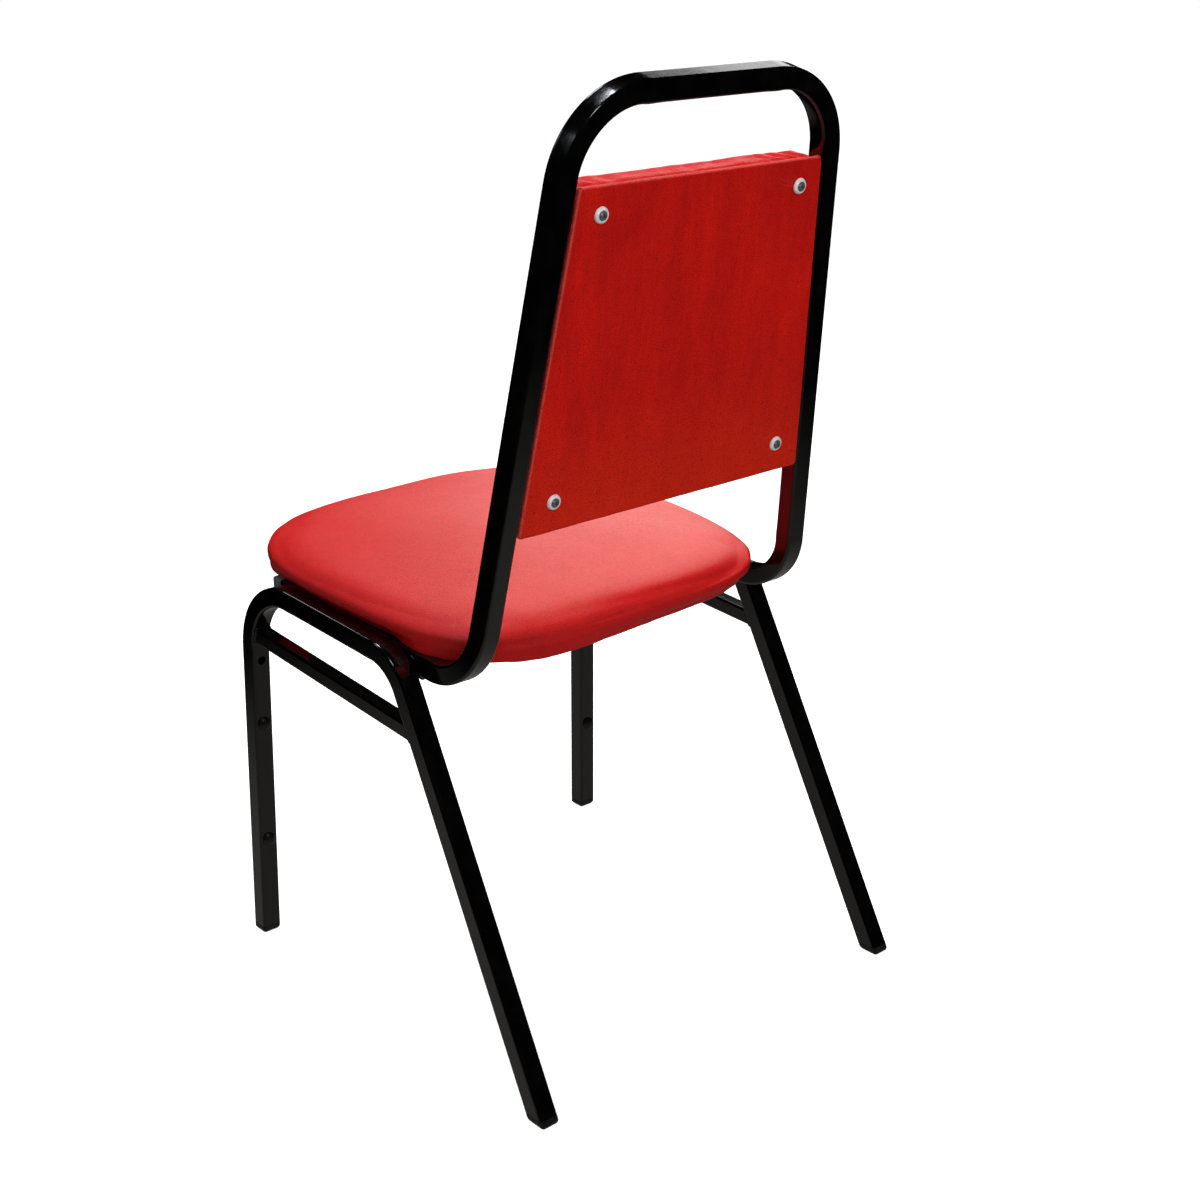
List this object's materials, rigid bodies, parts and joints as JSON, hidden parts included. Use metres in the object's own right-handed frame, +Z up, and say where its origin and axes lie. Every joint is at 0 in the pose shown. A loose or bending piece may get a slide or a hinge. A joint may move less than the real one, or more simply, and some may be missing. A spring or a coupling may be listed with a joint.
{
  "type": "stacking chair",
  "caption": "Armless stacking chair: painted square-tube steel frame with splayed side leg frames, vinyl padded seat and a vinyl padded back screwed inside a bent hoop.",
  "frame": {"origin": "on the floor, in the middle of the chair's bounding box", "axes": "+X to the sitter's left, -Y forwards, the way the sitter faces, +Z up"},
  "size_m": [0.4528, 0.521, 0.8774],
  "materials": {
    "frame_paint": "gloss",
    "glide_plastic": "satin",
    "plug_plastic": "satin",
    "bumper_plastic": "satin",
    "plywood": "matte",
    "foam": "matte",
    "red_vinyl": "satin",
    "dust_cloth": "matte",
    "screw_steel": "satin",
    "washer_steel": "satin"
  },
  "bodies": {
    "root": {"back_hoop": "frame_paint", "leg_frame_left": "frame_paint", "leg_frame_right": "frame_paint", "side_brace_left": "frame_paint", "side_brace_right": "frame_paint", "back_tab_upper_left": "frame_paint", "back_tab_upper_right": "frame_paint", "back_tab_lower_left": "frame_paint", "back_tab_lower_right": "frame_paint", "foot_glide_front_left": "glide_plastic", "foot_glide_front_right": "glide_plastic", "foot_glide_rear_left": "glide_plastic", "foot_glide_rear_right": "glide_plastic", "rail_end_plug_left": "plug_plastic", "rail_end_plug_right": "plug_plastic", "stack_bumper_front_left_upper": "bumper_plastic", "stack_bumper_front_left_lower": "bumper_plastic", "stack_bumper_front_right_upper": "bumper_plastic", "stack_bumper_front_right_lower": "bumper_plastic", "stack_bumper_rear_left_upper": "bumper_plastic", "stack_bumper_rear_left_lower": "bumper_plastic", "stack_bumper_rear_right_upper": "bumper_plastic", "stack_bumper_rear_right_lower": "bumper_plastic", "seat_board": "plywood", "back_rear_board": "plywood", "back_front_board": "plywood", "seat_foam": "foam", "back_front_foam": "foam", "seat_cover": "red_vinyl", "back_front_cover": "red_vinyl", "back_rear_cover": "red_vinyl", "seat_dust_cover": "dust_cloth", "seat_screw_front_left": "screw_steel", "seat_screw_front_right": "screw_steel", "seat_screw_rear_left": "screw_steel", "seat_screw_rear_right": "screw_steel", "back_screw_upper_left": "screw_steel", "back_screw_upper_right": "screw_steel", "back_screw_lower_left": "screw_steel", "back_screw_lower_right": "screw_steel", "cup_washer_upper_left": "washer_steel", "cup_washer_upper_right": "washer_steel", "cup_washer_lower_left": "washer_steel", "cup_washer_lower_right": "washer_steel"}
  },
  "joints": []
}
